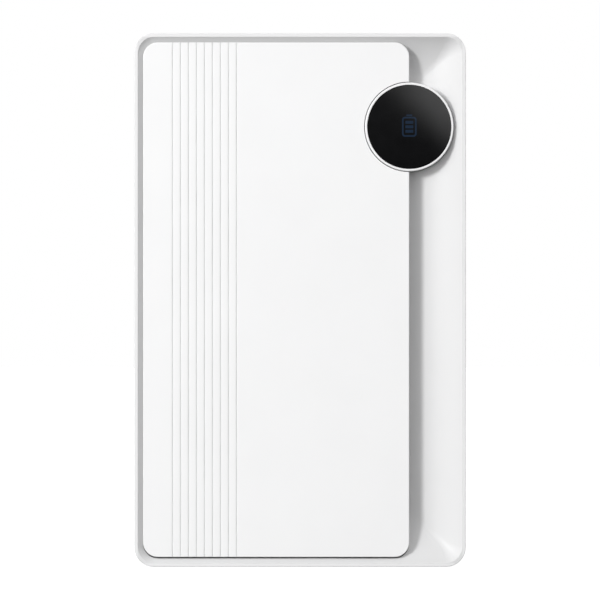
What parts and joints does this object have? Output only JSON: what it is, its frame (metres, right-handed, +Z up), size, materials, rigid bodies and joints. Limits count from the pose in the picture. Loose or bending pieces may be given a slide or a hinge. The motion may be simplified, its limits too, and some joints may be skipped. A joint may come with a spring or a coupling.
{
  "type": "power bank",
  "caption": "Slim upright power bank: white dished case with a raised fluted front panel, a round black display button at its upper right and charging sockets on top.",
  "frame": {"origin": "middle of the bottom edge face, under the centre of the body, where it stands upright", "axes": "+Z up along the long side, +X to the right seen from the front, front face toward -Y, back pad toward +Y"},
  "size_m": [0.068, 0.0172, 0.1094],
  "materials": {
    "white_body": "fine matte white moulding",
    "white_panel": "fine matte white moulding",
    "white_bezel": "satin white ring",
    "black_glass": "glossy black printed glass",
    "grey_silicone": "soft light grey silicone",
    "tape": "thin mounting tape",
    "display": "dark display module",
    "dark_plastic": "black engineering plastic",
    "cream_plastic": "cream connector plastic",
    "spring_steel": "thin spring steel",
    "flex_film": "amber polyimide film",
    "socket_metal": "plated sheet steel",
    "socket_plastic": "black socket tongue",
    "gold_contacts": "gold plated contact",
    "circuit_board": "green solder mask",
    "inductor_grey": "moulded inductor body",
    "ceramic_tan": "ceramic capacitor body",
    "foil_pouch": "aluminium laminate pouch",
    "nickel": "nickel strip",
    "red_wire": "red silicone insulation",
    "black_wire": "black silicone insulation",
    "foam": "dark foam pad",
    "aluminium_sheet": "thin aluminium sheet",
    "screw_steel": "dark plated screw"
  },
  "bodies": {
    "casing": {"front_shell": "white_body", "rear_shell": "white_body", "front_panel": "white_panel", "panel_adhesive": "tape", "rear_pad": "grey_silicone", "rear_pad_adhesive": "tape", "flex_connector": "cream_plastic", "tact_switch": "dark_plastic", "left_usb_c_shell": "socket_metal", "left_usb_c_tongue": "socket_plastic", "left_usb_c_contacts": "gold_contacts", "right_usb_c_shell": "socket_metal", "right_usb_c_tongue": "socket_plastic", "right_usb_c_contacts": "gold_contacts", "usb_a_shell": "socket_metal", "usb_a_tongue": "socket_plastic", "usb_a_contacts": "gold_contacts", "main_board": "circuit_board", "power_inductors": "inductor_grey", "switching_transistors": "dark_plastic", "charge_controller": "dark_plastic", "display_controller": "dark_plastic", "ceramic_capacitors": "ceramic_tan", "protection_board": "circuit_board", "protection_chips": "dark_plastic", "battery_cell": "foil_pouch", "cell_tabs": "nickel", "cell_thermistor": "dark_plastic", "red_lead": "red_wire", "black_lead": "black_wire", "front_foam": "foam", "rear_foam": "foam", "heat_spreader": "aluminium_sheet", "insulation_sheet": "flex_film", "case_screws": "screw_steel", "board_screws": "screw_steel"},
    "button": {"button_bezel": "white_bezel", "display_lens": "black_glass", "lens_adhesive": "tape", "display_module": "display", "button_stem": "dark_plastic", "stem_clip": "spring_steel", "display_flex": "flex_film", "switch_plunger": "dark_plastic"}
  },
  "joints": [
    {"name": "button_press", "type": "slide", "parent": "casing", "child": "button", "axis": [0, 1, 0], "range_m": [0, 0.0004], "stiffness_N_per_m": 4000}
  ]
}
